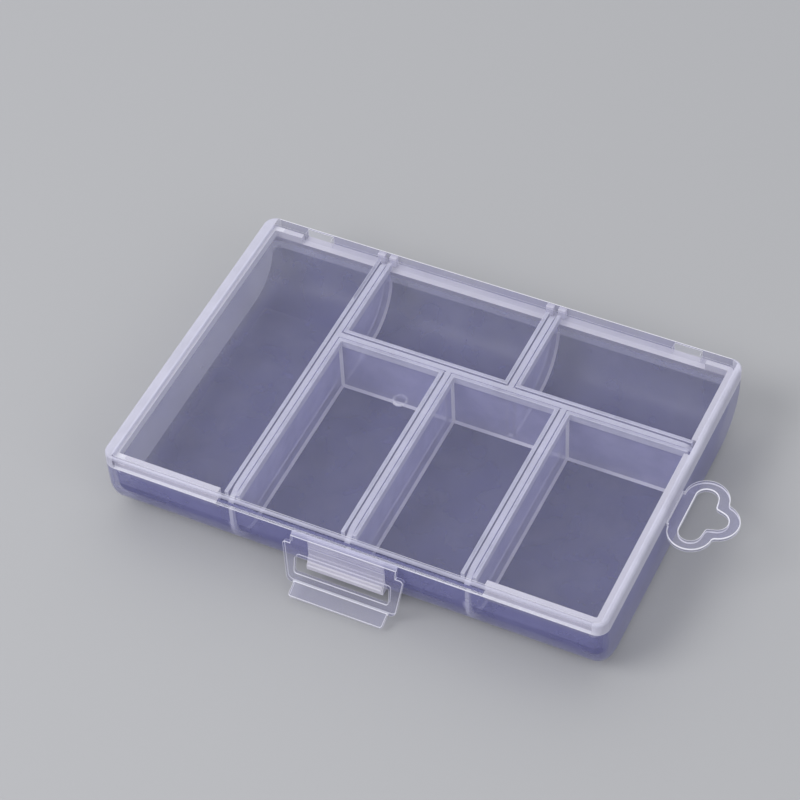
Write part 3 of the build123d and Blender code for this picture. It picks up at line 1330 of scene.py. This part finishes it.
# ------------------------------------------------------------------------------ studio
@dataclass(frozen=True)
class Softbox:
    """One soft square light, aimed at the middle of the box.

    Attributes:
        name: The light's name.
        place: Where it hangs, in metres.
        size: Length of its side.
        watts: Its power.
    """

    name: str
    place: tuple[float, float, float]
    size: float
    watts: float

    def build(self) -> None:
        """Hangs the light and turns it to the box."""
        lamp = bpy.data.lights.new(self.name, "AREA")
        lamp.size = self.size
        lamp.energy = self.watts
        held = bpy.data.objects.new(self.name, lamp)
        held.location = self.place
        held.rotation_euler = (-Vector(self.place)).to_track_quat("-Z", "Y").to_euler()
        bpy.context.scene.collection.objects.link(held)


@dataclass(frozen=True)
class Studio:
    """Pale floor, soft lights and the camera.

    Attributes:
        floor_size: Length of the floor's side, in metres.
        floor_colour: Colour of the floor.
        floor_roughness: Roughness of the floor.
        floor_gloss: Strength of the floor's faint gloss.
        sky: Colour of the light from all round.
        sky_strength: Strength of that light.
        azimuth: How far the camera stands round to the right, in degrees.
        elevation: How far it looks down, in degrees.
        roll: How far it leans, in degrees.
        distance: From the camera to the point that it aims at, in metres.
        aim: That point.
        lens: The camera's focal length, in millimetres on a full frame.
        full_frame: Width of a full frame, in millimetres.
        nearest: How near to itself the camera sees, in metres.
        lights: The soft lights.
    """

    floor_size: float = 6.0
    floor_colour: tuple[float, float, float] = (0.45, 0.45, 0.46)
    floor_roughness: float = 0.85
    floor_gloss: float = 0.2
    sky: tuple[float, float, float] = (0.80, 0.82, 0.86)
    sky_strength: float = 0.68
    azimuth: float = 27.79
    elevation: float = 48.01
    roll: float = 3.27
    distance: float = 0.6215
    aim: tuple[float, float, float] = (-0.00756, 0.00237, 0.0156)
    lens: float = 124.8
    full_frame: float = 36.0
    nearest: float = 0.01
    lights: tuple[Softbox, ...] = (
        Softbox("key_softbox", (-0.45, -0.55, 0.75), 0.5, 4.8),
        Softbox("fill_softbox", (0.75, -0.35, 0.55), 0.6, 1.3),
        Softbox("back_softbox", (-0.37, 0.71, 0.89), 1.6, 4.0),
    )

    def floor(self) -> None:
        """Lays the floor."""
        half = self.floor_size / 2
        mesh = bpy.data.meshes.new("floor")
        corners = [(-half, -half, 0), (half, -half, 0), (half, half, 0), (-half, half, 0)]
        mesh.from_pydata(corners, [], [(0, 1, 2, 3)])
        paint = bpy.data.materials.new("pale_floor")
        paint.use_nodes = True
        shader = paint.node_tree.nodes["Principled BSDF"]
        shader.inputs["Base Color"].default_value = (*self.floor_colour, 1.0)
        shader.inputs["Roughness"].default_value = self.floor_roughness
        shader.inputs["Specular IOR Level"].default_value = self.floor_gloss
        mesh.materials.append(paint)
        link(mesh, "floor")

    def camera(self) -> None:
        """Stands the camera where it looks down at the box from its front right."""
        turn, lift, tilt = (math.radians(v) for v in (self.azimuth, self.elevation, self.roll))
        back = Vector(
            (math.sin(turn) * math.cos(lift), -math.cos(turn) * math.cos(lift), math.sin(lift))
        )
        level = Vector((0, 0, 1)).cross(back).normalized()
        upright = back.cross(level)
        right = level * math.cos(tilt) - upright * math.sin(tilt)
        up = level * math.sin(tilt) + upright * math.cos(tilt)
        lens = bpy.data.cameras.new("camera")
        lens.lens = self.lens
        lens.sensor_width = self.full_frame
        lens.clip_start = self.nearest
        stand = bpy.data.objects.new("camera", lens)
        turned = Matrix((right, up, back)).transposed().to_4x4()
        stand.matrix_world = Matrix.Translation(Vector(self.aim) + back * self.distance) @ turned
        bpy.context.scene.collection.objects.link(stand)
        bpy.context.scene.camera = stand

    def build(self) -> None:
        """Sets up the whole studio, with enough bounces to see through every wall."""
        self.floor()
        self.camera()
        for light in self.lights:
            light.build()
        world = bpy.data.worlds.new("studio")
        world.use_nodes = True
        glow = world.node_tree.nodes["Background"]
        glow.inputs["Color"].default_value = (*self.sky, 1.0)
        glow.inputs["Strength"].default_value = self.sky_strength
        scene = bpy.context.scene
        scene.world = world
        scene.view_settings.view_transform = "Standard"
        scene.cycles.transparent_max_bounces = 48
        scene.cycles.max_bounces = 16
        scene.cycles.use_denoising = True


def main() -> None:
    """Builds the box sub-assembly by sub-assembly and reports each piece."""
    logging.basicConfig(level=logging.INFO, format="%(name)s: %(message)s")
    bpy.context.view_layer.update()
    Studio().build()
    for part in (Tray(), Catch(), Lid(), Latch(), Hinges()):
        for piece in part.build():
            LOG.info("%s: %d faces", piece.name, len(piece.data.polygons))


if __name__ == "__main__":
    main()
